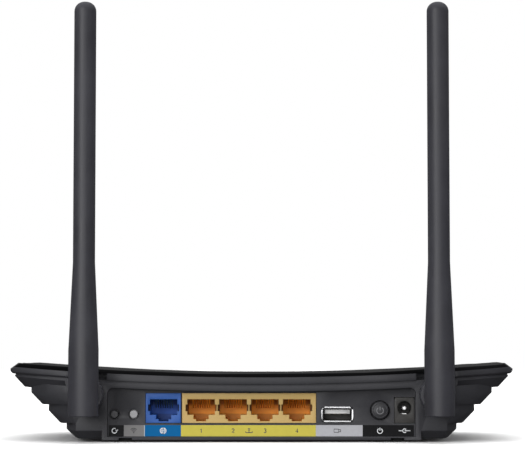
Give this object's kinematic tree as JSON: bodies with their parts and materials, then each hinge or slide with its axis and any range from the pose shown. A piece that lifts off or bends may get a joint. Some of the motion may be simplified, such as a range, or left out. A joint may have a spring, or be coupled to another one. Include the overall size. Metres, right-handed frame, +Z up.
{
  "type": "wireless router",
  "caption": "Desktop wireless router with a boat-shaped stepped case, a recessed rear port panel and upright screw-on aerials that swivel and fold",
  "frame": {"origin": "under the middle of the whole object, aerials included, on the surface it stands on", "axes": "+Z up; the port panel and aerials face -Y; +X is to the right seen from behind"},
  "size_m": [0.23, 0.1665, 0.1903],
  "materials": {
    "gloss_cover": "high-gloss black",
    "matte_shell": "fine spark-eroded matt black",
    "aerial_plastic": "satin black",
    "rubber": "matt",
    "screw_steel": "zinc plated",
    "pin_steel": "bright",
    "port_label": "printed polyester label with coloured zones",
    "rating_label": "blank printed label",
    "wan_blue": "satin",
    "lan_yellow": "satin",
    "gold_contact": "gold flash",
    "usb_metal": "nickel plated",
    "usb_tongue": "satin",
    "dc_plastic": "satin",
    "button_dark": "satin",
    "button_grey": "satin",
    "board_green": "solder mask",
    "chip_black": "moulded",
    "pad_grey": "soft",
    "sink_aluminium": "extruded",
    "can_tin": "tin plated",
    "capacitor_can": "sleeved",
    "ferrite": "ground",
    "clear_acrylic": "clear",
    "led_lens": "clear",
    "brass_plated": "gold plated",
    "cable_jacket": "satin"
  },
  "bodies": {
    "root": {"top_cover": "gloss_cover", "upper_frame": "matte_shell", "bottom_housing": "matte_shell", "rubber_feet": "rubber", "housing_screws": "screw_steel", "pcb_screws": "screw_steel", "rating_label": "rating_label", "port_label": "port_label", "main_pcb": "board_green", "wan_socket_housing": "wan_blue", "wan_socket_contacts": "gold_contact", "lan_socket_housing": "lan_yellow", "lan_socket_contacts": "gold_contact", "usb_shell": "usb_metal", "usb_tongue": "usb_tongue", "usb_contacts": "gold_contact", "dc_socket_housing": "dc_plastic", "dc_socket_pin": "pin_steel", "dc_socket_spring": "pin_steel", "power_switch": "chip_black", "tact_switches": "chip_black", "line_transformers": "chip_black", "main_processor": "chip_black", "thermal_pad": "pad_grey", "heat_sink": "sink_aluminium", "switch_chip": "chip_black", "memory_chips": "chip_black", "radio_shield_left": "can_tin", "radio_shield_right": "can_tin", "capacitors": "capacitor_can", "power_inductors": "ferrite", "crystal": "can_tin", "status_leds": "led_lens", "light_pipe": "clear_acrylic", "connector_washers": "brass_plated", "connector_nuts": "brass_plated", "pigtail_plugs": "brass_plated", "left_connector": "brass_plated", "left_pigtail": "cable_jacket", "right_connector": "brass_plated", "right_pigtail": "cable_jacket"},
    "left_ferrule": {"left_aerial_ferrule": "brass_plated"},
    "left_nut": {"left_aerial_nut": "aerial_plastic"},
    "left_elbow": {"left_aerial_elbow": "aerial_plastic"},
    "left_rod": {"left_aerial_rod": "aerial_plastic", "left_hinge_pin": "pin_steel", "left_radiator": "brass_plated"},
    "right_ferrule": {"right_aerial_ferrule": "brass_plated"},
    "right_nut": {"right_aerial_nut": "aerial_plastic"},
    "right_elbow": {"right_aerial_elbow": "aerial_plastic"},
    "right_rod": {"right_aerial_rod": "aerial_plastic", "right_hinge_pin": "pin_steel", "right_radiator": "brass_plated"},
    "power_button": {"power_button": "button_dark"},
    "reset_button": {"reset_button": "button_dark"},
    "wireless_button": {"wireless_button": "button_grey"}
  },
  "joints": [
    {"name": "left_unscrew", "type": "slide", "parent": "root", "child": "left_ferrule", "axis": [0, -1, 0], "range_m": [0, 0.00282]},
    {"name": "left_nut_turn", "type": "hinge", "parent": "left_ferrule", "child": "left_nut", "pos_m": [-0.0762, -0.06415, 0.0205], "axis": [0, -1, 0], "range_deg": [0, 1441]},
    {"name": "left_swivel", "type": "hinge", "parent": "left_ferrule", "child": "left_elbow", "pos_m": [-0.0762, -0.06675, 0.0205], "axis": [0, 1, 0], "range_deg": [-90, 45]},
    {"name": "left_tilt", "type": "hinge", "parent": "left_elbow", "child": "left_rod", "pos_m": [-0.0762, -0.07675, 0.0205], "axis": [1, 0, 0], "range_deg": [0, 90]},
    {"name": "right_unscrew", "type": "slide", "parent": "root", "child": "right_ferrule", "axis": [0, -1, 0], "range_m": [0, 0.00282]},
    {"name": "right_nut_turn", "type": "hinge", "parent": "right_ferrule", "child": "right_nut", "pos_m": [0.0762, -0.06415, 0.0205], "axis": [0, -1, 0], "range_deg": [0, 1441]},
    {"name": "right_swivel", "type": "hinge", "parent": "right_ferrule", "child": "right_elbow", "pos_m": [0.0762, -0.06675, 0.0205], "axis": [0, 1, 0], "range_deg": [-45, 90]},
    {"name": "right_tilt", "type": "hinge", "parent": "right_elbow", "child": "right_rod", "pos_m": [0.0762, -0.07675, 0.0205], "axis": [1, 0, 0], "range_deg": [0, 90]},
    {"name": "power_press", "type": "slide", "parent": "root", "child": "power_button", "axis": [0, 1, 0], "range_m": [0, 0.002], "stiffness_N_per_m": 800},
    {"name": "reset_press", "type": "slide", "parent": "root", "child": "reset_button", "axis": [0, 1, 0], "range_m": [0, 0.0005], "stiffness_N_per_m": 800},
    {"name": "wireless_press", "type": "slide", "parent": "root", "child": "wireless_button", "axis": [0, 1, 0], "range_m": [0, 0.0005], "stiffness_N_per_m": 800}
  ],
  "couplings": [
    {"joint": "left_nut_turn", "follows": "left_unscrew", "rad_per_m": 8899.7},
    {"joint": "right_nut_turn", "follows": "right_unscrew", "rad_per_m": 8899.7}
  ]
}
